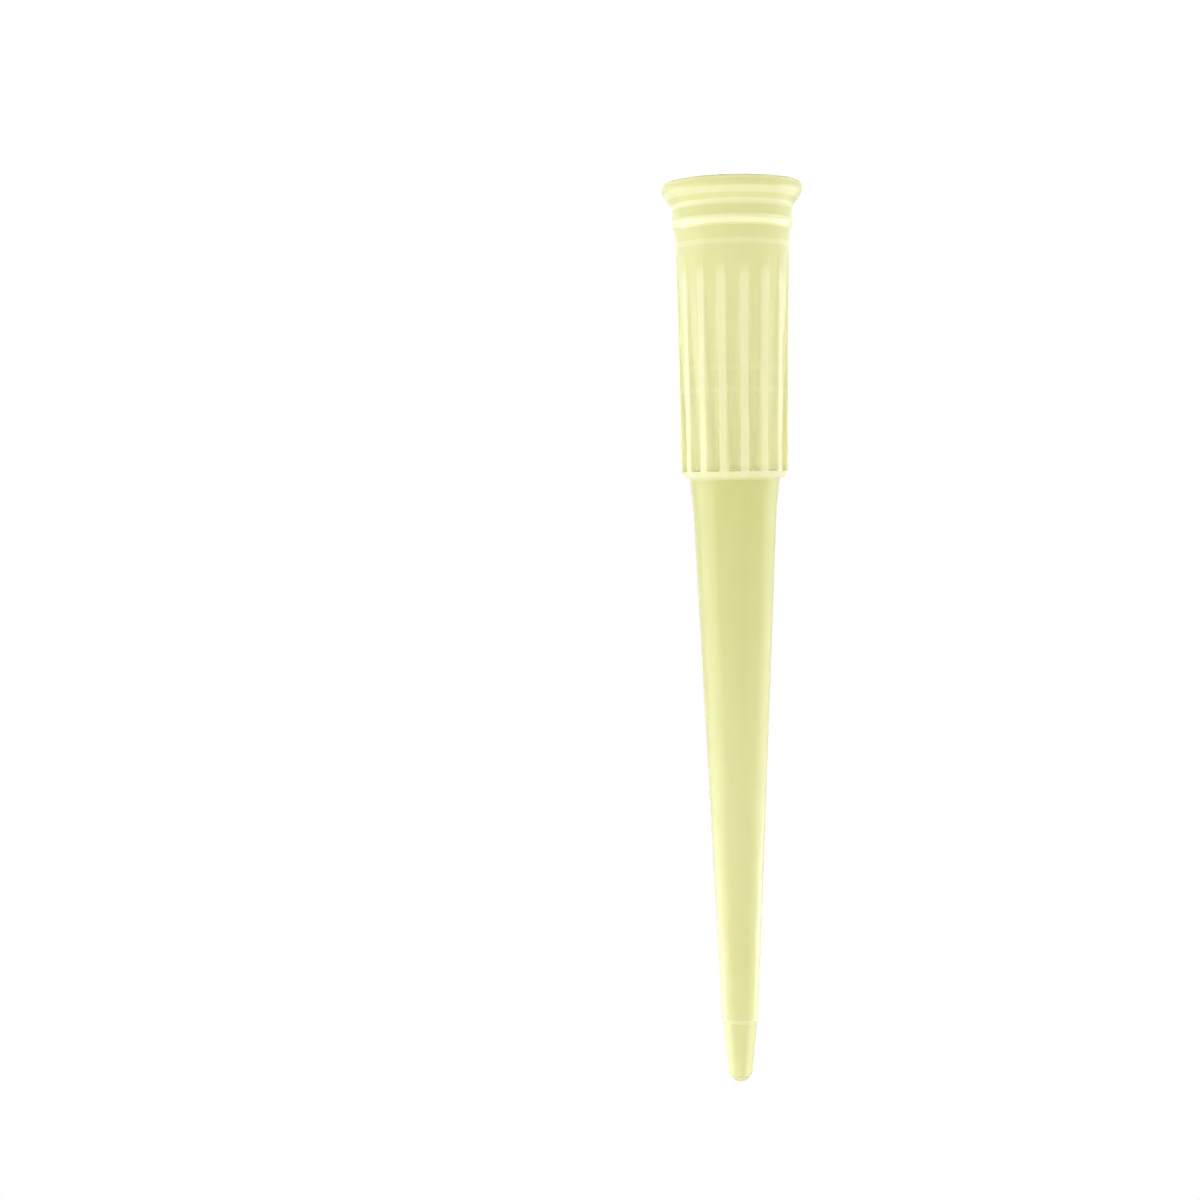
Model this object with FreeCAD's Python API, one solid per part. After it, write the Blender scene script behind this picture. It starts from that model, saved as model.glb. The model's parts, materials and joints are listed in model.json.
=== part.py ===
import FreeCAD, Part
import math
import os

# A universal 200-microlitre pipette tip. It is one thin-walled injection moulding in polypropylene: a long hollow
# cone with a flanged mouth that pushes onto the pipette's nose, a ribbed collar whose shoulder hangs the tip in
# a rack, and a fine point with the orifice.
# The tip's axis is Z. The mouth is down, with its rim in the plane z = 0, and the point is up. "Depth" below is the
# distance from the plane of the rim, which is z. Sizes are in millimetres.

# Whole tip
tip_length = 50.0

# Socket that grips the pipette's nose, and the widening that leads into it from the mouth
socket_radius = 2.50
socket_depth = 4.0
socket_length = 4.0
approach_clearance = 0.13
lead_in_width = 0.32
lead_in_height = 0.73

# Two small steps inside, beyond the socket
first_step_depth = 10.0
step_spacing = 1.2
step_width = 0.06
step_slope_height = 0.15

# Conical wall: the collar's taper under the ribs, then the short neck past the shoulder
collar_wall = 0.74
collar_taper = 0.74
neck_taper = 0.185
neck_height = 1.7
body_wall = 0.46

# Flange round the mouth
flange_overhang = 0.55
flange_side_height = 0.50
flange_slope_height = 0.80
flange_edge_round = 0.30

# Plain band under the flange, and the fine bead that ends it
band_step = 0.11
band_height = 0.70
bead_overhang = 0.04
bead_height = 0.20
bead_slope_height = 0.37

# Ribbed collar
rib_count = 16
rib_width = 0.50
rib_height = 0.50
rib_start_depth = 3.9
rib_run_in = 0.50
rib_edge_bevel = 0.08

# Shoulder that closes the grooves between the ribs
shoulder_depth = 16.1
shoulder_ring_height = 0.40
shoulder_bevel_width = 0.28
shoulder_bevel_height = 0.40

# Point
point_length = 3.5
point_base_radius = 1.01
point_step = 0.03
point_end_radius = 0.67
point_bevel_width = 0.32
point_bevel_height = 0.42
orifice_radius = 0.25

# Sizes that follow from those above
band_start_depth = flange_side_height + flange_slope_height
bead_depth = band_start_depth + band_height
cone_start_depth = bead_depth + bead_height + bead_slope_height
cone_end_depth = tip_length - point_length
neck_end_depth = shoulder_depth + neck_height
cone_start_radius = socket_radius + collar_wall
shoulder_wall_radius = cone_start_radius - collar_taper
neck_end_radius = shoulder_wall_radius - neck_taper
band_radius = cone_start_radius + band_step
flange_radius = band_radius + flange_overhang
bead_radius = band_radius + bead_overhang
bevel_start_depth = shoulder_depth - shoulder_bevel_height


def collar_wall_radius(depth):
    """Radius of the wall between the ribs at a depth: a straight line from under the bead to the shoulder."""
    share = (depth - cone_start_depth) / (shoulder_depth - cone_start_depth)
    return cone_start_radius - share * collar_taper


def crest_radius(depth):
    """Radius of the ribs' crests at a depth: a straight line that leaves the wall where the ribs start."""
    start_radius = collar_wall_radius(rib_start_depth)
    end_radius = shoulder_wall_radius + rib_height
    share = (depth - rib_start_depth) / (shoulder_depth - rib_start_depth)
    return start_radius + share * (end_radius - start_radius)


def rounded_outline(corners):
    """Closed wire in the XZ plane through corners (radius, depth, rounding), with a tangent arc at each rounding.

    An arc takes at most 0.45 of each side that it joins, so that no rounding outgrows its wall.
    """
    points = [FreeCAD.Vector(radius, 0, depth) for radius, depth, rounding in corners]
    edges = []
    leaves = []
    for i, (radius, depth, rounding) in enumerate(corners):
        corner = points[i]
        back = points[i - 1] - corner
        ahead = points[(i + 1) % len(points)] - corner
        half_angle = back.getAngle(ahead) / 2
        reach = min(rounding / math.tan(half_angle), 0.45 * back.Length, 0.45 * ahead.Length)
        back.normalize()
        ahead.normalize()
        arrives = corner + back * reach
        leaves.append(corner + ahead * reach)
        if reach > 0:
            to_centre = back + ahead
            to_centre.normalize()
            nearest = reach * math.tan(half_angle) * (1 / math.sin(half_angle) - 1)
            edges.append(Part.Arc(arrives, corner + to_centre * nearest, leaves[i]).toShape())
        if i > 0:
            edges.append(Part.LineSegment(leaves[i - 1], arrives).toShape())
    edges.append(Part.LineSegment(leaves[-1], points[0]).toShape())
    return Part.Wire(Part.__sortEdges__(edges))


def turned(corners):
    """Solid turned about Z from an outline of corners (radius, depth, rounding) that starts on the axis."""
    face = Part.Face(rounded_outline(corners))
    return face.revolve(FreeCAD.Vector(0, 0, 0), FreeCAD.Vector(0, 0, 1), 360)


def outer_form():
    """The tip without its ribs and its hollow: flange, band, bead, collar wall, neck, long cone and point."""
    return turned([
        (0, 0, 0),
        (flange_radius, 0, flange_edge_round),
        (flange_radius, flange_side_height, flange_edge_round),
        (band_radius, band_start_depth, 0),
        (band_radius, bead_depth, 0),
        (bead_radius, bead_depth + bead_overhang, 0),
        (bead_radius, bead_depth + bead_height, 0),
        (cone_start_radius, cone_start_depth, 0),
        (shoulder_wall_radius, shoulder_depth, 0),
        (neck_end_radius, neck_end_depth, 0),
        (point_base_radius, cone_end_depth, 0),
        (point_base_radius - point_step, cone_end_depth + point_step, 0),
        (point_end_radius, tip_length - point_bevel_height, 0),
        (point_end_radius - point_bevel_width, tip_length, 0),
        (0, tip_length, 0),
    ])


def hollow():
    """The space inside: lead-in, approach, socket, two steps, long cone and the point's fine bore."""
    second_step_depth = first_step_depth + step_spacing
    cone_bore_depth = second_step_depth + step_slope_height
    cone_bore_radius = collar_wall_radius(cone_bore_depth) - body_wall
    approach_radius = socket_radius + approach_clearance
    return turned([
        (0, 0, 0),
        (approach_radius + lead_in_width, 0, 0),
        (approach_radius, lead_in_height, 0),
        (socket_radius, socket_depth, 0),
        (socket_radius, socket_depth + socket_length, 0),
        (cone_bore_radius + 2 * step_width, first_step_depth, 0),
        (cone_bore_radius + step_width, first_step_depth + step_slope_height, 0),
        (cone_bore_radius + step_width, second_step_depth, 0),
        (cone_bore_radius, cone_bore_depth, 0),
        (neck_end_radius - body_wall, neck_end_depth, 0),
        (point_base_radius - body_wall, cone_end_depth, 0),
        (orifice_radius, tip_length, 0),
        (0, tip_length, 0),
    ])


def rib():
    """One rib along +X: a bevelled bar on the crest line, with its foot and its start sunk in the wall."""
    start_depth = rib_start_depth - rib_run_in
    end_depth = shoulder_depth + rib_run_in
    foot = shoulder_wall_radius - body_wall / 2
    crest = crest_radius(start_depth)
    side = rib_width / 2
    bevel = min(rib_edge_bevel, 0.45 * rib_width)
    corners = [(foot, -side), (crest - bevel, -side), (crest, bevel - side),
               (crest, side - bevel), (crest - bevel, side), (foot, side)]
    points = [FreeCAD.Vector(x, y, start_depth) for x, y in corners]
    section = Part.Face(Part.makePolygon(points + points[:1]))
    return section.extrude(FreeCAD.Vector(crest_radius(end_depth) - crest, 0, end_depth - start_depth))


def collar():
    """The ribs and the ring that closes their grooves, under one bevel and one flat shoulder."""
    bevel_radius = crest_radius(bevel_start_depth)
    clear_radius = bevel_radius + shoulder_bevel_width
    ring_start = FreeCAD.Vector(0, 0, shoulder_depth - shoulder_ring_height)
    stock = Part.makeCylinder(clear_radius, shoulder_ring_height + rib_run_in, ring_start)
    for i in range(rib_count):
        bar = rib()
        bar.rotate(FreeCAD.Vector(0, 0, 0), FreeCAD.Vector(0, 0, 1), (i + 0.5) * 360 / rib_count - 90)
        stock = stock.fuse(bar)
    envelope = turned([
        (0, 0, 0),
        (clear_radius, 0, 0),
        (clear_radius, bevel_start_depth - shoulder_bevel_height, 0),
        (bevel_radius - shoulder_bevel_width, shoulder_depth, 0),
        (0, shoulder_depth, 0),
    ])
    return envelope.common(stock)


def pipette_tip():
    """The whole moulding, one solid."""
    body = outer_form().fuse(collar()).removeSplitter()
    return body.cut(hollow()).Solids[0]


os.makedirs("parts", exist_ok=True)
shape = pipette_tip()
shape.exportStep("parts/pipette_tip.step")
print("pipette_tip valid", shape.isValid(), "volume mm3", round(shape.Volume, 2))
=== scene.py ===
import json
import math

import bpy
import numpy as np
from mathutils import Matrix, Vector


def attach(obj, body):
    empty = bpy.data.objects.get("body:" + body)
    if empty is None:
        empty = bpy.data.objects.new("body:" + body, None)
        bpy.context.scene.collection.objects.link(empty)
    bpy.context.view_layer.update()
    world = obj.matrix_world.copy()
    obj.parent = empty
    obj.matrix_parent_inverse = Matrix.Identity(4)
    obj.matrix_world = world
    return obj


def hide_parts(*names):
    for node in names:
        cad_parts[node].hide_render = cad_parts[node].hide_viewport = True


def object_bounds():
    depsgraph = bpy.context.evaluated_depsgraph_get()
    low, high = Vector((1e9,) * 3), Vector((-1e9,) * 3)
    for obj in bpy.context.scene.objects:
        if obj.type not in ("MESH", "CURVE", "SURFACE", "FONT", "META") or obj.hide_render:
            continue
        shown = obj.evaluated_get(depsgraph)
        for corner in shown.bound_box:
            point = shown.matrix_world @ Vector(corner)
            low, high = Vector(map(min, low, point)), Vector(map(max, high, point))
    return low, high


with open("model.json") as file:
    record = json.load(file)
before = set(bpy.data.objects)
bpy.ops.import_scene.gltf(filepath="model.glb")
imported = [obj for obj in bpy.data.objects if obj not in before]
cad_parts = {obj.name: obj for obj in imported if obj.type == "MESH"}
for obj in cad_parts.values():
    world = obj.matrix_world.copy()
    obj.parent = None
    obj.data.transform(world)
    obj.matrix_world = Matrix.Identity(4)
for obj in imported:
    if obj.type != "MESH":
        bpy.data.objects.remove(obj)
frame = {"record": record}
cad_low, cad_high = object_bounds()

# -----------------------------------------------------------------------------------------------------------
# The tip. One thin-walled moulding in translucent polypropylene: flanged mouth, plain band and bead, a
# collar of sixteen ribs that ends in a flat shoulder, and a long cone with a fine point. It stands on the
# rim of its mouth. "Depth" is the distance from the plane of the rim, and every size here is in millimetres.
# -----------------------------------------------------------------------------------------------------------
mm = 0.001
mounts = {mount["name"]: mount for mount in frame["record"]["mounts"]}
tip_length = cad_high.z / mm
socket_radius = mounts["pipette_socket"]["dims"]["r_mm"]
socket_length = mounts["pipette_socket"]["dims"]["length_mm"]
socket_depth = mounts["pipette_socket"]["pos_m"][2] / mm - socket_length / 2
shoulder_depth = mounts["rack_shoulder"]["pos_m"][2] / mm

flange_radius = cad_high.x / mm
flange_side_height = 0.50
flange_slope_height = 0.80
flange_edge_round = 0.30
flange_side_round = 0.50
flange_foot_round = 0.40
band_radius = 3.35
band_height = 0.70
bead_overhang = 0.04
bead_height = 0.20
bead_slope_height = 0.37
bead_root_round = 0.03
bead_start_round = 0.06
bead_end_round = 0.10
bead_foot_round = 0.20

collar_start_radius = 3.24
collar_end_radius = 2.50
neck_end_radius = 2.315
neck_height = 1.7
neck_end_round = 4.0
cone_end_radius = 1.01

wall = 0.46
approach_clearance = 0.13
lead_in_width = 0.32
lead_in_height = 0.73
lead_in_round = 0.10
socket_end_round = 0.30
first_step_depth = 10.0
second_step_depth = 11.2
step_width = 0.06
step_slope_height = 0.15
step_round = 0.08
neck_bore_round = 2.0
point_bore_round = 0.5

rib_count = 16
rib_width = 0.50
rib_height = 0.50
rib_start_depth = 3.9
rib_start_round = 2.0
rib_edge_round = 0.09
rib_root_round = 0.18
rib_flank_draft = 0.03
groove_end_depth = 15.7
groove_end_round = 0.07
shoulder_bevel_width = 0.28
shoulder_bevel_height = 0.40
shoulder_bevel_round = 0.15
shoulder_edge_round = 0.08
shoulder_root_round = 0.10

point_length = 3.5
point_step = 0.03
point_step_round = 0.02
point_end_radius = 0.67
point_bevel_width = 0.32
point_bevel_height = 0.42
point_bevel_round = 0.15
point_end_round = 0.06
orifice_radius = 0.25
orifice_round = 0.03

band_start_depth = flange_side_height + flange_slope_height
bead_depth = band_start_depth + band_height
collar_start_depth = bead_depth + bead_height + bead_slope_height
neck_end_depth = shoulder_depth + neck_height
cone_end_depth = tip_length - point_length
bevel_start_depth = shoulder_depth - shoulder_bevel_height


def wall_radius(depth):
    """Radius of the wall between the ribs: a straight line from under the bead to the shoulder."""
    ends = [collar_start_radius, collar_end_radius]
    return np.interp(depth, [collar_start_depth, shoulder_depth], ends)


def crest_radius(depth):
    """Radius of the ribs' crests: a straight line from the wall where they start to the shoulder."""
    ends = [wall_radius(rib_start_depth), collar_end_radius + rib_height]
    return np.interp(depth, [rib_start_depth, shoulder_depth], ends)


def rounded_loop(corners, arc_step=math.radians(14), side_share=0.42, row_length=1.6, support=0.2):
    """Points (radius, depth) round a closed loop of corners (radius, depth, rounding).

    Each corner is replaced by the circular arc of that rounding that touches both of its sides, cut into
    equal turns of arc_step or a little less. An arc takes at most side_share of a side. A flat of twice
    row_length or more is divided into equal lengths of row_length or a little more, and a point at support
    times the arc's reach guards each end of an arc, so that the flats stay flat when shaded.
    """
    corner = np.array([c[:2] for c in corners])
    rounding = np.array([c[2] for c in corners])
    back = np.roll(corner, 1, axis=0) - corner
    ahead = np.roll(corner, -1, axis=0) - corner
    back_length = np.linalg.norm(back, axis=1)
    ahead_length = np.linalg.norm(ahead, axis=1)
    back /= back_length[:, None]
    ahead /= ahead_length[:, None]
    half_angle = np.arccos(np.clip((back * ahead).sum(1), -1, 1)) / 2
    reach = np.minimum(rounding / np.tan(half_angle), side_share * np.minimum(back_length, ahead_length))
    radius = reach * np.tan(half_angle)
    points = []
    for i in range(len(corner)):
        arrives = corner[i] + back[i] * reach[i]
        leaves = corner[i] + ahead[i] * reach[i]
        turn = math.pi - 2 * half_angle[i]
        inward = (back[i] + ahead[i]) / np.linalg.norm(back[i] + ahead[i])
        centre = corner[i] + inward * radius[i] / math.sin(half_angle[i])
        share = np.linspace(0, 1, math.ceil(turn / arc_step) + 1)[:, None]
        arm = (arrives - centre) * np.sin((1 - share) * turn) + (leaves - centre) * np.sin(share * turn)
        arc = centre + arm / math.sin(turn)
        guard = support * reach[i]
        points.append(np.vstack([arrives + back[i] * guard, arc, leaves + ahead[i] * guard]))
        following = (i + 1) % len(corner)
        next_arrives = corner[following] + back[following] * reach[following]
        span = np.linalg.norm(next_arrives - leaves)
        pieces = int(span // row_length)
        if pieces > 1:
            share = np.linspace(0, 1, pieces + 1)[1:-1, None]
            points.append(leaves + (next_arrives - leaves) * share)
    return np.vstack(points)


def tip_profile():
    """The loop (radius, depth) of the tip's section: up the outside along the rib crests, down the inside."""
    cone_bore_depth = second_step_depth + step_slope_height
    cone_bore_radius = wall_radius(cone_bore_depth) - wall
    approach_radius = socket_radius + approach_clearance
    bevel_radius = crest_radius(bevel_start_depth)
    return rounded_loop([
        (approach_radius + lead_in_width, 0, lead_in_round),
        (flange_radius, 0, flange_edge_round),
        (flange_radius, flange_side_height, flange_side_round),
        (band_radius, band_start_depth, flange_foot_round),
        (band_radius, bead_depth, bead_root_round),
        (band_radius + bead_overhang, bead_depth + bead_overhang, bead_start_round),
        (band_radius + bead_overhang, bead_depth + bead_height, bead_end_round),
        (collar_start_radius, collar_start_depth, bead_foot_round),
        (wall_radius(rib_start_depth), rib_start_depth, rib_start_round),
        (bevel_radius, bevel_start_depth, shoulder_bevel_round),
        (bevel_radius - shoulder_bevel_width, shoulder_depth, shoulder_edge_round),
        (collar_end_radius, shoulder_depth, shoulder_root_round),
        (neck_end_radius, neck_end_depth, neck_end_round),
        (cone_end_radius, cone_end_depth, point_step_round),
        (cone_end_radius - point_step, cone_end_depth + point_step, point_step_round),
        (point_end_radius, tip_length - point_bevel_height, point_bevel_round),
        (point_end_radius - point_bevel_width, tip_length, point_end_round),
        (orifice_radius, tip_length, orifice_round),
        (cone_end_radius - wall, cone_end_depth, point_bore_round),
        (neck_end_radius - wall, neck_end_depth, neck_bore_round),
        (cone_bore_radius, cone_bore_depth, step_round),
        (cone_bore_radius + step_width, second_step_depth, step_round),
        (cone_bore_radius + step_width, first_step_depth + step_slope_height, step_round),
        (cone_bore_radius + 2 * step_width, first_step_depth, step_round),
        (socket_radius, socket_depth + socket_length, socket_end_round),
        (socket_radius, socket_depth, socket_end_round),
        (approach_radius, lead_in_height, lead_in_round),
    ])


def rib_columns(crest_shares=(0, 0.7), floor_shares=(0.1, 0.4, 0.7, 1.0), arc_points=4):
    """The mesh's columns across half a rib and half a groove, from the rib's middle to the groove's middle.

    They lie on the flat crest, on a quarter circle at the rib's edge, halfway down its flank, on a quarter
    circle at its root and on the groove's floor. Returns each column's sideways offset in mm, the share of
    the floor's angle that it has passed, and three factors. Multiplied by the rib's height, its edge round
    and its root round, the factors add up to the column's height over the wall.
    """
    half = rib_width / 2
    quarter = np.linspace(0, math.pi / 2, arc_points)
    crest = np.array(crest_shares) * (half - rib_edge_round)
    edge = half - rib_edge_round * (1 - np.sin(quarter))
    root = half + rib_flank_draft + rib_root_round * (1 - np.cos(quarter))
    floor = np.full(len(floor_shares), root[-1])
    offset = np.concatenate([crest, edge, [half + rib_flank_draft / 2], root, floor])
    floor_share = np.concatenate([np.zeros(len(offset) - len(floor)), floor_shares])
    high = np.ones(len(crest) + len(edge))
    low = np.zeros(len(root) + len(floor))
    on_height = np.concatenate([high, [0.5], low])
    on_edge = np.concatenate([0 * crest, np.cos(quarter) - 1, [-0.5], low])
    on_root = np.concatenate([0 * high, [0.5], 1 - np.sin(quarter), 0 * floor])
    return offset, floor_share, on_height, on_edge, on_root


def tip_surface(round_share=0.45):
    """Grid of points (row, column, xyz) in mm over the skin, closed along the section and round the axis.

    A point's radius is the wall's radius plus the rib's rise there. The rise is the profile's height over the
    wall, rounded as rib_columns says, and a rounding takes at most round_share of the height. The ring at the
    shoulder fills the grooves from their end onwards, by the smooth step t * t * (3 - 2 * t). A column's
    angle is the arcsine of its sideways offset over its radius, so the ribs have parallel sides.
    """
    profile = tip_profile()
    radius, depth = profile[:, 0], profile[:, 1]
    outside = np.arange(len(radius)) <= np.argmax(depth)
    ribbed = outside & (depth > rib_start_depth) & (depth <= shoulder_depth)
    base_radius = np.where(ribbed, np.minimum(radius, wall_radius(depth)), radius)
    height = (radius - base_radius)[:, None]
    edge_round = np.minimum(rib_edge_round, round_share * height)
    root_round = np.minimum(rib_root_round, round_share * height)
    offset, floor_share, on_height, on_edge, on_root = rib_columns()
    rise = height * on_height + edge_round * on_edge + root_round * on_root
    ring = np.clip((depth - groove_end_depth) / groove_end_round + 0.5, 0, 1)[:, None]
    rise += ring * ring * (3 - 2 * ring) * (height - rise)
    column_radius = base_radius[:, None] + rise
    half_pitch = math.pi / rib_count
    held = np.clip(column_radius, collar_end_radius, wall_radius(rib_start_depth))
    angle = np.arcsin(offset / held)
    angle += floor_share * (half_pitch - angle)
    column_radius = np.hstack([column_radius, column_radius[:, -2:0:-1]])
    angle = np.hstack([angle, 2 * half_pitch - angle[:, -2:0:-1]])
    turns = (np.arange(rib_count) + 0.5) * 2 * half_pitch - math.pi / 2
    angle = (turns[None, :, None] + angle[:, None, :]).reshape(len(depth), -1)
    column_radius = np.tile(column_radius, (1, rib_count))
    depth = np.broadcast_to(depth[:, None], angle.shape)
    return np.stack([column_radius * np.cos(angle), column_radius * np.sin(angle), depth], axis=-1)


def closed_grid(name, grid):
    """Mesh object of a grid of points that closes in both directions: a quad between each four neighbours."""
    rows, columns = grid.shape[:2]
    index = np.arange(rows * columns).reshape(rows, columns)
    up = np.roll(index, -1, axis=0)
    quads = np.stack([index, np.roll(index, -1, axis=1), np.roll(up, -1, axis=1), up], axis=-1).reshape(-1, 4)
    mesh = bpy.data.meshes.new(name)
    mesh.vertices.add(rows * columns)
    mesh.vertices.foreach_set("co", (grid * mm).ravel())
    mesh.loops.add(quads.size)
    mesh.loops.foreach_set("vertex_index", quads.ravel())
    mesh.polygons.add(len(quads))
    mesh.polygons.foreach_set("loop_start", np.arange(0, quads.size, 4))
    mesh.update(calc_edges=True)
    mesh.validate()
    mesh.shade_smooth()
    piece = bpy.data.objects.new(name, mesh)
    bpy.context.scene.collection.objects.link(piece)
    return piece


tip = closed_grid("tip_moulding", tip_surface())


def add_node(tree, kind, **settings):
    """New node of a kind in a node tree, with the given properties set."""
    node = tree.nodes.new(kind)
    for name, value in settings.items():
        setattr(node, name, value)
    return node


def feed(tree, node, **inputs):
    """Set or link a node's inputs by name, or by number after an underscore, and return the node.

    A socket is linked, and a plain value becomes the input's default.
    """
    for name, value in inputs.items():
        socket = node.inputs[int(name[1:])] if name[1:].isdigit() else node.inputs[name.replace("_", " ")]
        if isinstance(value, bpy.types.NodeSocket):
            tree.links.new(value, socket)
        else:
            socket.default_value = value
    return node


def math_node(tree, operation, first, second=0.0, clamp=False):
    """Output of a Math node."""
    node = add_node(tree, "ShaderNodeMath", operation=operation, use_clamp=clamp)
    feed(tree, node, _0=first, _1=second)
    return node.outputs[0]


def ramp_node(tree, value, low, high, start=0.0, end=1.0, smooth=False):
    """Output of a Map Range node: value from low..high to start..end, clamped."""
    node = add_node(tree, "ShaderNodeMapRange", interpolation_type="SMOOTHSTEP" if smooth else "LINEAR")
    feed(tree, node, Value=value, From_Min=low, From_Max=high, To_Min=start, To_Max=end)
    return node.outputs["Result"]


def noise_node(tree, place, stretch, scale, detail):
    """Noise of scale grains per metre, read at the place with its x, y and z multiplied by the stretch."""
    scaled = add_node(tree, "ShaderNodeVectorMath", operation="MULTIPLY")
    feed(tree, scaled, _0=place, _1=stretch)
    noise = add_node(tree, "ShaderNodeTexNoise")
    feed(tree, noise, Vector=scaled.outputs[0], Scale=scale, Detail=detail)
    return noise.outputs["Fac"]


# The plastic's deep tint and its pale tint, which also paints its highlights, how strongly it bends light,
# and the share of the light that it lets through
deep_tint = (0.79, 0.785, 0.352, 1)
pale_tint = (0.98, 0.975, 0.64, 1)
refraction = 1.49
see_through = 0.5

# Paleness is 0 in the deep tint and 1 in the pale one. The cosines bound the painted highlight stripes along
# the ribs' crests.
collar_paleness = 0.25
shoulder_paleness = 0.75
shoulder_fade = 0.15
cone_paleness = 0.34
cone_pale_depth = 34.0
rib_highlight_rise = 0.02
rib_highlight_start_depth = rib_start_depth - 0.2
rib_highlight_full_depth = rib_start_depth + 1.8
rib_highlight_cosine = -0.90
rib_highlight_end_cosine = 0.55

# Painted highlight lines round the moulding, where light would catch the rim, flange, foot, bead, inner
# socket and steps,
# ledge and point; at the rim and at the ledge they also paint light over the shade of the floor contact and
# of the grooves' ends:
# start depth, end depth, fade on each side, paleness
rim_painted_light = (-0.10, 0.12, 0.15, 1.00)
flange_highlight = (flange_side_height + 0.12, flange_side_height + 0.35, 0.12, 0.90)
foot_highlight = (band_start_depth - 0.08, band_start_depth + 0.12, 0.12, 0.90)
bead_highlight = (bead_depth + 0.02, bead_depth + bead_height + 0.22, 0.08, 1.00)
socket_highlight = (socket_depth - 0.72, socket_depth - 0.50, 0.12, 0.62)
first_step_highlight = (first_step_depth, first_step_depth + 0.25, 0.15, 0.68)
second_step_highlight = (second_step_depth, second_step_depth + 0.25, 0.15, 0.76)
ledge_painted_light = (groove_end_depth - 0.10, shoulder_depth - 0.06, 0.14, 0.90)
point_highlight = (cone_end_depth - 0.10, cone_end_depth + 0.06, 0.08, 0.75)
painted_light_lines = [
    rim_painted_light, flange_highlight, foot_highlight, bead_highlight, socket_highlight,
    first_step_highlight, second_step_highlight, ledge_painted_light, point_highlight,
]

# Flow streaks along the axis and soft clouds: their grain, how much they vary the paleness, and their relief
streak_stretch = (1, 1, 0.06)
streak_grain = 1500.0
streak_detail = 3.0
streak_strength = 0.22
streak_relief = 0.7
cloud_stretch = (1, 1, 0.5)
cloud_grain = 350.0
cloud_detail = 2.0
cloud_strength = 0.18
cloud_relief = 0.3
relief_strength = 0.25
relief_depth = 0.02

# Haze, which is the roughness of the skin, and the line down the middle of the wall that bounds the bore
thin_cloud = 0.3
thick_cloud = 0.7
lowest_haze = 0.14
highest_haze = 0.22
bore_haze = 0.20
bore_fade = 0.1
mid_wall_start_radius = 2.95
mid_wall_end_radius = 0.50


def span_node(tree, value, start, end, fade, height):
    """Output that is height while the value is in start..end, and falls to 0 over the fade on each side."""
    rises = ramp_node(tree, value, start - fade, start, 0.0, height)
    falls = ramp_node(tree, value, end, end + fade, height, 0.0)
    return math_node(tree, "MINIMUM", rises, falls)


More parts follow.
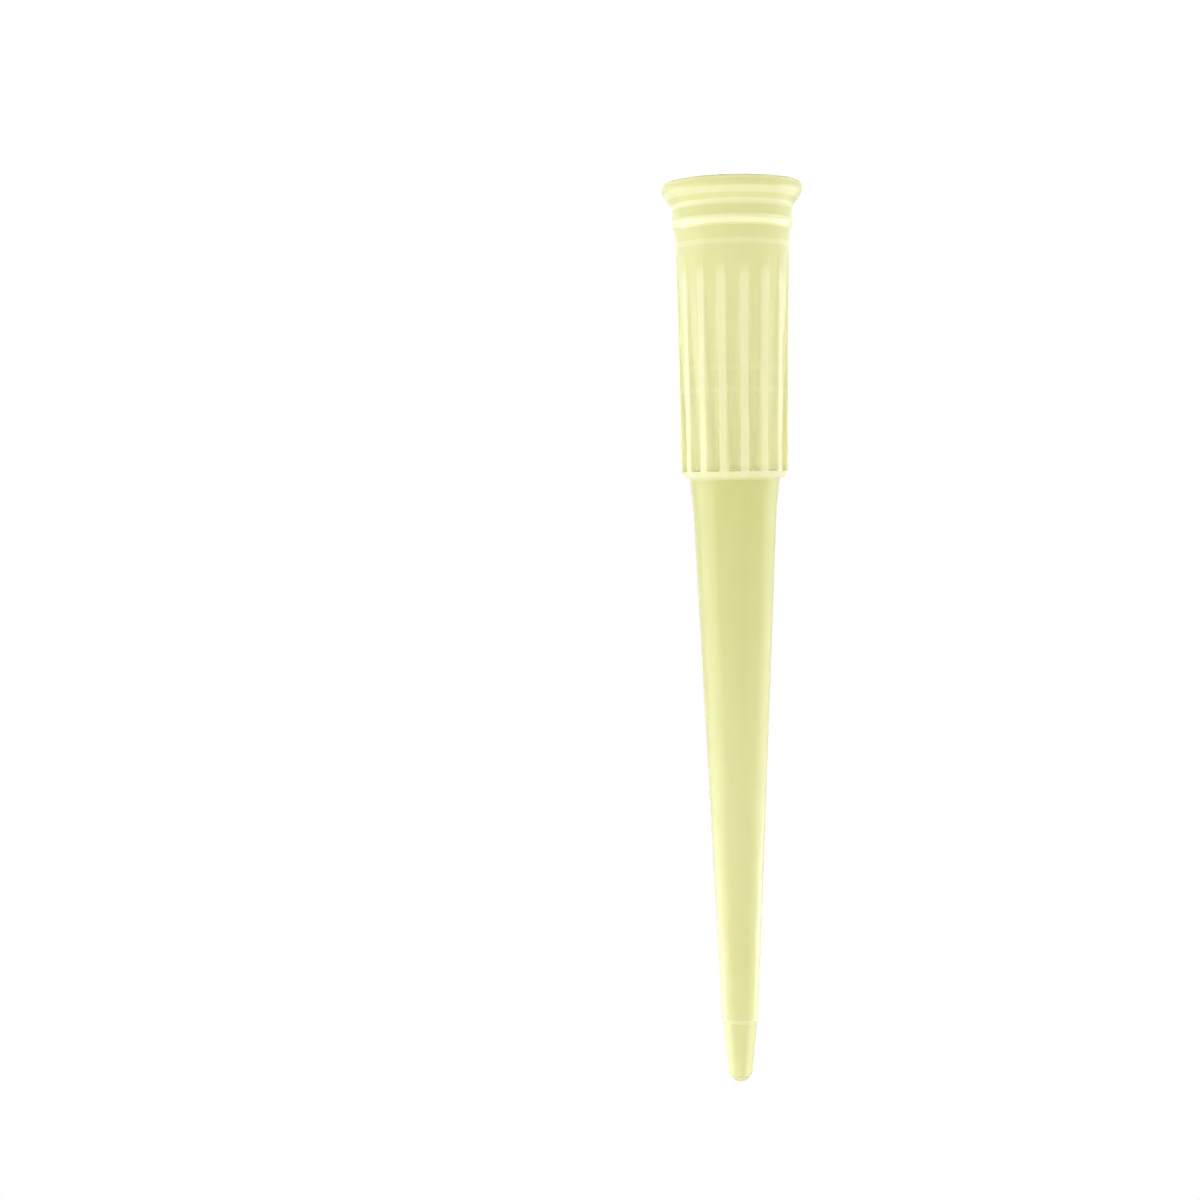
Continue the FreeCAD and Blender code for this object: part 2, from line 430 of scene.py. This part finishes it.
def moulded_plastic():
    """Node group: how pale the plastic is, with its painted highlights, its haze and its flow marks, from the
    place on the moulding.

    Paleness is the greatest of: a painted highlight stripe along each rib's crest, a straight rise along the
    collar, another along the cone, and the painted highlight lines round the moulding, which at the rim and
    at the ledge also paint light over the shade there. The stripe follows the cosine of the angle round the
    axis times the number of ribs, which is -1 on a rib's crest and 1 midway between two ribs. It is on the
    outside only, and comes up over the ribs' first stretch. Up to half of the strength of the streaks and of
    the clouds is then added or taken away. The haze follows the clouds, and the bore, inside the middle of
    the wall, has more of it.
    """
    group = bpy.data.node_groups.new("moulded_plastic", "ShaderNodeTree")
    for name in ("Pale", "Haze", "Relief"):
        group.interface.new_socket(name, in_out="OUTPUT", socket_type="NodeSocketFloat")
    place = add_node(group, "ShaderNodeTexCoord").outputs["Object"]
    split = feed(group, add_node(group, "ShaderNodeSeparateXYZ"), Vector=place)
    depth = math_node(group, "DIVIDE", split.outputs["Z"], mm)
    across = feed(group, add_node(group, "ShaderNodeCombineXYZ"), X=split.outputs["X"], Y=split.outputs["Y"])
    reach = feed(group, add_node(group, "ShaderNodeVectorMath", operation="LENGTH"), _0=across.outputs[0])
    radius = math_node(group, "DIVIDE", reach.outputs["Value"], mm)

    # Painted highlight: a pale stripe along each rib's crest, where light would catch the ribs, fading in
    # over the ribs' first stretch
    groove = ramp_node(group, depth, collar_start_depth, shoulder_depth,
                       collar_start_radius, collar_end_radius)
    raised = ramp_node(group, math_node(group, "SUBTRACT", radius, groove), 0.0, rib_highlight_rise)
    grown = ramp_node(group, depth, rib_highlight_start_depth, rib_highlight_full_depth, smooth=True)
    bearing = math_node(group, "ARCTAN2", split.outputs["Y"], split.outputs["X"])
    wave = math_node(group, "COSINE", math_node(group, "MULTIPLY", bearing, rib_count))
    stripe = ramp_node(group, wave, rib_highlight_cosine, rib_highlight_end_cosine, 1.0, 0.0, smooth=True)
    pale = math_node(group, "MULTIPLY", stripe, math_node(group, "MULTIPLY", raised, grown))
    collar = ramp_node(group, depth, collar_start_depth, shoulder_depth, collar_paleness, shoulder_paleness)
    past_collar = ramp_node(group, depth, shoulder_depth, shoulder_depth + shoulder_fade,
                            shoulder_paleness, 0.0)
    pale = math_node(group, "MAXIMUM", pale, math_node(group, "MINIMUM", collar, past_collar))
    cone = ramp_node(group, depth, shoulder_depth, cone_pale_depth, 0.0, cone_paleness)
    pale = math_node(group, "MAXIMUM", pale, cone)
    # Painted highlight lines, and painted light over the shade at the rim and at the ledge
    for start, end, fade, paleness in painted_light_lines:
        pale = math_node(group, "MAXIMUM", pale, span_node(group, depth, start, end, fade, paleness))

    streak = noise_node(group, place, streak_stretch, streak_grain, streak_detail)
    cloud = noise_node(group, place, cloud_stretch, cloud_grain, cloud_detail)
    streak_drift = ramp_node(group, streak, 0.0, 1.0, -streak_strength / 2, streak_strength / 2)
    cloud_drift = ramp_node(group, cloud, 0.0, 1.0, -cloud_strength / 2, cloud_strength / 2)
    drift = math_node(group, "ADD", streak_drift, cloud_drift)
    pale = math_node(group, "ADD", pale, drift, clamp=True)

    middle = ramp_node(group, depth, 0.0, tip_length, mid_wall_start_radius, mid_wall_end_radius)
    inward = math_node(group, "SUBTRACT", middle, radius)
    in_bore = ramp_node(group, inward, -bore_fade, bore_fade, 0.0, bore_haze)
    cloudy = ramp_node(group, cloud, thin_cloud, thick_cloud, lowest_haze, highest_haze)
    haze = math_node(group, "ADD", cloudy, in_bore)
    streak_height = math_node(group, "MULTIPLY", streak, streak_relief)
    cloud_height = math_node(group, "MULTIPLY", cloud, cloud_relief)
    relief = math_node(group, "ADD", streak_height, cloud_height)
    feed(group, add_node(group, "NodeGroupOutput"), Pale=pale, Haze=haze, Relief=relief)
    return group


def polypropylene():
    """Cloudy yellow polypropylene that lets part of the light through, between a deep tint and a pale one,
    with highlights painted in the pale tint.
    """
    material = bpy.data.materials.new("tinted_polypropylene")
    material.use_nodes = True
    tree = material.node_tree
    plastic = add_node(tree, "ShaderNodeGroup", node_tree=moulded_plastic())
    tint = add_node(tree, "ShaderNodeMix", data_type="RGBA")
    tree.links.new(plastic.outputs["Pale"], tint.inputs[0])
    tint.inputs[6].default_value = deep_tint
    tint.inputs[7].default_value = pale_tint
    bump = add_node(tree, "ShaderNodeBump")
    feed(tree, bump, Strength=relief_strength, Distance=relief_depth * mm, Height=plastic.outputs["Relief"])
    feed(tree, tree.nodes["Principled BSDF"], Base_Color=tint.outputs[2], Roughness=plastic.outputs["Haze"],
         Normal=bump.outputs["Normal"], IOR=refraction, Transmission_Weight=see_through)
    return material


tip.data.materials.append(polypropylene())
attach(tip, "root")
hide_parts("pipette_tip")

# -----------------------------------------------------------------------------------------------------------
# The floor. A plain matt white board that runs far past the view, a hair under the rim. It glows a little to
# the camera and through the plastic, so that it shows as white, and still keeps the tip's shadow.
# -----------------------------------------------------------------------------------------------------------
board_size = 4.0
board_drop = 0.02 * mm
board_white = (0.88, 0.88, 0.88, 1)
board_roughness = 0.9
board_glow = 0.45

bpy.ops.mesh.primitive_plane_add(size=board_size)
floor = bpy.context.object
floor.name = "floor"
floor.location.z = -board_drop
board = bpy.data.materials.new("white_board")
board.use_nodes = True
board_shader = board.node_tree.nodes["Principled BSDF"]
path = add_node(board.node_tree, "ShaderNodeLightPath")
sent_on = math_node(board.node_tree, "MAXIMUM",
                    path.outputs["Is Glossy Ray"], path.outputs["Is Transmission Ray"])
seen = math_node(board.node_tree, "MAXIMUM", path.outputs["Is Camera Ray"], sent_on)
glow = math_node(board.node_tree, "MULTIPLY", seen, board_glow)
feed(board.node_tree, board_shader, Base_Color=board_white, Roughness=board_roughness,
     Specular_IOR_Level=0.0, Emission_Color=(1, 1, 1, 1), Emission_Strength=glow)
floor.data.materials.append(board)

# -----------------------------------------------------------------------------------------------------------
# The light. A plain white room, one soft lamp on each side of the tip, and a thin brighter ring of light all
# round above the horizon, which draws the bright line along the bead. The ring leans back and stands open at
# the far side, where it would only glint on the cone's edges.
# -----------------------------------------------------------------------------------------------------------
room_strength = 1.0
ring_lean = 0.26
ring_low = 0.375
ring_high = 0.425
ring_fade = 0.02
ring_strength = 4.5
gap_start = 0.45
gap_full = 0.75

world = bpy.data.worlds.new("studio")
bpy.context.scene.world = world
world.use_nodes = True
sky = world.node_tree
gaze = add_node(sky, "ShaderNodeTexCoord").outputs["Generated"]
lifted = add_node(sky, "ShaderNodeVectorMath", operation="DOT_PRODUCT")
feed(sky, lifted, _0=gaze, _1=(0, ring_lean, 1))
ring = span_node(sky, lifted.outputs["Value"], ring_low, ring_high, ring_fade, ring_strength)
far = feed(sky, add_node(sky, "ShaderNodeSeparateXYZ"), Vector=gaze).outputs["Y"]
ring = math_node(sky, "MULTIPLY", ring, ramp_node(sky, far, gap_start, gap_full, 1.0, 0.0))
brightness = math_node(sky, "ADD", ring, room_strength)
feed(sky, sky.nodes["Background"], Color=(1, 1, 1, 1), Strength=brightness)


def soft_lamp(name, place, target, width, height, power):
    """Rectangular area lamp at a place, facing the target. Lengths are in metres and the power in watts."""
    data = bpy.data.lights.new(name, "AREA")
    data.shape = "RECTANGLE"
    data.size = width
    data.size_y = height
    data.energy = power
    lamp = bpy.data.objects.new(name, data)
    lamp.location = place
    lamp.rotation_euler = (Vector(target) - lamp.location).to_track_quat("-Z", "Y").to_euler()
    bpy.context.scene.collection.objects.link(lamp)


mid_tip = (0, 0, 0.03)
soft_lamp("bright_side", place=(0.13, -0.01, 0.045), target=mid_tip, width=0.14, height=0.09,
          power=0.055)
soft_lamp("other_side", place=(-0.12, 0.05, 0.035), target=mid_tip, width=0.12, height=0.10,
          power=0.035)

# -----------------------------------------------------------------------------------------------------------
# The camera. It stands level with the shoulder, a hand's breadth away, and is turned upside down, so that
# the mouth comes out at the top of the picture and the point at the bottom, as a tip hangs in its rack.
# -----------------------------------------------------------------------------------------------------------
picture_width = 66.79 * mm
viewing_distance = 109 * mm
eye_height = shoulder_depth * mm
aim = Vector((7.58 * mm, 0, 22.79 * mm))
lean = math.radians(-0.83)
film_width = 36
nearest_seen = 0.005

camera_data = bpy.data.cameras.new("camera")
camera_data.sensor_width = film_width
camera_data.lens = film_width * viewing_distance / picture_width
camera_data.clip_start = nearest_seen
camera = bpy.data.objects.new("camera", camera_data)
bpy.context.scene.collection.objects.link(camera)
bpy.context.scene.camera = camera
station = Vector((0, -viewing_distance, eye_height))
forward = (aim - station).normalized()
head = Vector((math.sin(lean), 0, -math.cos(lean)))
right = forward.cross(head).normalized()
facing = Matrix((right, right.cross(forward), -forward)).transposed()
camera.matrix_world = Matrix.Translation(station) @ facing.to_4x4()

bpy.context.scene.view_settings.view_transform = "Standard"
